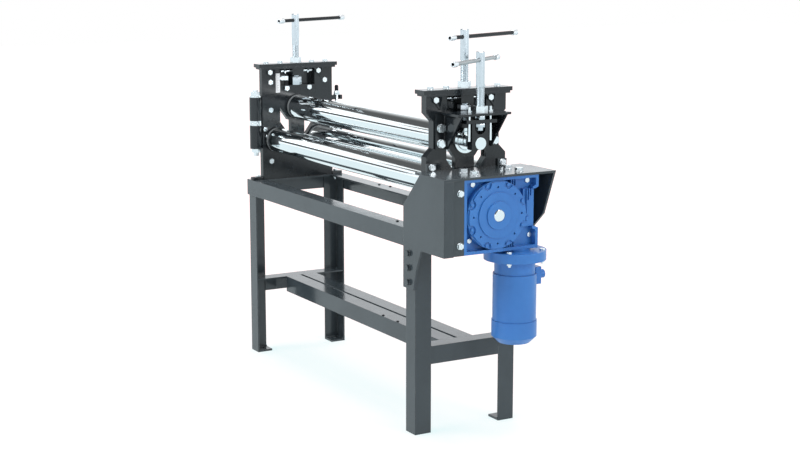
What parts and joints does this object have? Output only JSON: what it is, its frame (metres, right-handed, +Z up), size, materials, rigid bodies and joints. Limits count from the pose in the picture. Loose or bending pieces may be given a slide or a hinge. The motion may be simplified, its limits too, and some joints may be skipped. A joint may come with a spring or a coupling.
{
  "type": "slip roll machine",
  "caption": "Floor-standing motor-driven slip roll: three polished rolls between end housings, T-bar adjusting screws, a hinged drop end and a worm gearmotor on an angle stand.",
  "frame": {"origin": "on the floor, in the middle of the rectangle of the four anchor holes in the feet", "axes": "+X along the rolls towards the gearmotor, +Y to the back of the machine, +Z up"},
  "size_m": [1.6934, 0.5237, 1.386],
  "materials": {
    "frame_paint": "semi-gloss dark grey paint",
    "plate_paint": "semi-gloss near-black paint",
    "blue_paint": "satin blue machine enamel",
    "bright_zinc": "bright zinc plating",
    "dark_steel": "blackened steel",
    "bronze": "turned bronze",
    "polished_steel": "ground and polished steel",
    "scale_white": "white plate"
  },
  "bodies": {
    "stand": {"leg_front_left": "frame_paint", "leg_front_right": "frame_paint", "leg_rear_left": "frame_paint", "leg_rear_right": "frame_paint", "front_rail": "frame_paint", "rear_rail": "frame_paint", "left_cross_rail": "frame_paint", "right_cross_rail": "frame_paint", "left_crossbar": "frame_paint", "right_crossbar": "frame_paint", "lower_front_rail": "frame_paint", "lower_rear_rail": "frame_paint", "frame_bolts": "bright_zinc", "left_housing": "plate_paint", "left_fasteners": "bright_zinc", "hinge_pin": "bright_zinc", "lower_roll_bushes": "bronze", "right_housing": "plate_paint", "right_cap": "plate_paint", "right_clamp_bolts": "bright_zinc", "right_fasteners": "bright_zinc", "tail_bracket": "plate_paint", "tail_guide_rods": "bright_zinc", "tail_nut": "bright_zinc", "console_front_plate": "frame_paint", "console_rear_plate": "frame_paint", "console_top_plate": "frame_paint", "gearbox_mounting_plate": "frame_paint", "gearbox_housing": "blue_paint", "gearbox_cover": "blue_paint", "gearmotor_bolts": "bright_zinc", "motor_flange": "blue_paint", "motor_body": "blue_paint", "motor_cowl": "blue_paint", "cable_gland": "blue_paint"},
    "drop_end_frame": {"drop_end": "plate_paint", "drop_end_cap": "plate_paint", "drop_end_clamp_bolts": "bright_zinc", "drop_end_fasteners": "bright_zinc", "roll_scale": "scale_white"},
    "left_slide": {"left_carriage": "plate_paint", "left_top_bush": "bronze", "scale_pointer": "bright_zinc"},
    "left_screw_body": {"left_screw": "bright_zinc"},
    "left_bar_body": {"left_t_bar": "dark_steel"},
    "right_slide": {"right_carriage": "plate_paint", "right_top_bearing": "polished_steel"},
    "right_screw_body": {"right_screw": "bright_zinc"},
    "right_bar_body": {"right_t_bar": "dark_steel"},
    "tail_slide": {"tail_block": "plate_paint"},
    "tail_screw_body": {"tail_screw": "bright_zinc"},
    "tail_bar_body": {"tail_t_bar": "bright_zinc"},
    "top_roll_body": {"top_roll": "polished_steel"},
    "front_roll_body": {"front_roll": "polished_steel", "front_roll_gear": "dark_steel"},
    "rear_roll_body": {"rear_roll": "polished_steel", "rear_roll_gear": "dark_steel"},
    "drive_train": {"drive_gear": "dark_steel", "drive_shaft": "polished_steel"},
    "latch": {"latch_bolt": "bright_zinc"}
  },
  "joints": [
    {"name": "right_screw_turn", "type": "hinge", "parent": "right_slide", "child": "right_screw_body", "pos_m": [0.653, 0, 1.2], "axis": [0, 0, 1], "range_deg": [-3240, 0]},
    {"name": "right_slide_lift", "type": "slide", "parent": "stand", "child": "right_slide", "axis": [0, 0, 1], "range_m": [-0.054, 0]},
    {"name": "left_slide_lift", "type": "slide", "parent": "drop_end_frame", "child": "left_slide", "axis": [0, 0, 1], "range_m": [-0.054, 0]},
    {"name": "tail_slide_lift", "type": "slide", "parent": "stand", "child": "tail_slide", "axis": [0, 0, 1], "range_m": [-0.054, 0]},
    {"name": "left_screw_turn", "type": "hinge", "parent": "left_slide", "child": "left_screw_body", "pos_m": [-0.6405, 0, 1.2], "axis": [0, 0, 1], "range_deg": [-3240, 0]},
    {"name": "tail_screw_turn", "type": "hinge", "parent": "tail_slide", "child": "tail_screw_body", "pos_m": [0.753, 0, 1.2], "axis": [0, 0, 1], "range_deg": [-104.7, 35.3]},
    {"name": "left_bar_push", "type": "slide", "parent": "left_screw_body", "child": "left_bar_body", "axis": [-0.4067, 0.9135, 0], "range_m": [-0.269, 0.057]},
    {"name": "right_bar_push", "type": "slide", "parent": "right_screw_body", "child": "right_bar_body", "axis": [-0.4067, 0.9135, 0], "range_m": [-0.283, 0.043]},
    {"name": "tail_bar_push", "type": "slide", "parent": "tail_screw_body", "child": "tail_bar_body", "axis": [-0.5693, 0.8221, 0], "range_m": [-0.109, 0.185]},
    {"name": "drop_end_swing", "type": "hinge", "parent": "stand", "child": "drop_end_frame", "pos_m": [-0.6405, -0.183, 0.95], "axis": [0, 0, 1], "range_deg": [0, 100]},
    {"name": "latch_swing", "type": "hinge", "parent": "stand", "child": "latch", "pos_m": [-0.6405, 0.187, 0.912], "axis": [0, 1, 0], "range_deg": [0, 70]},
    {"name": "top_roll_spin", "type": "hinge", "parent": "right_slide", "child": "top_roll_body", "pos_m": [0, 0, 1.009], "axis": [1, 0, 0], "continuous": true},
    {"name": "drive_spin", "type": "hinge", "parent": "stand", "child": "drive_train", "pos_m": [0.697, 0, 0.78208], "axis": [1, 0, 0], "continuous": true},
    {"name": "front_roll_spin", "type": "hinge", "parent": "stand", "child": "front_roll_body", "pos_m": [0, -0.095, 0.878], "axis": [1, 0, 0], "continuous": true},
    {"name": "rear_roll_spin", "type": "hinge", "parent": "stand", "child": "rear_roll_body", "pos_m": [0, 0.095, 0.878], "axis": [1, 0, 0], "continuous": true}
  ],
  "couplings": [
    {"joint": "right_slide_lift", "follows": "right_screw_turn", "m_per_rad": 0.00095493},
    {"joint": "left_slide_lift", "follows": "right_screw_turn", "m_per_rad": 0.00095493},
    {"joint": "tail_slide_lift", "follows": "right_screw_turn", "m_per_rad": 0.00095493},
    {"joint": "left_screw_turn", "follows": "right_screw_turn", "ratio": 1},
    {"joint": "front_roll_spin", "follows": "drive_spin", "ratio": -4.625},
    {"joint": "rear_roll_spin", "follows": "drive_spin", "ratio": -4.625}
  ]
}
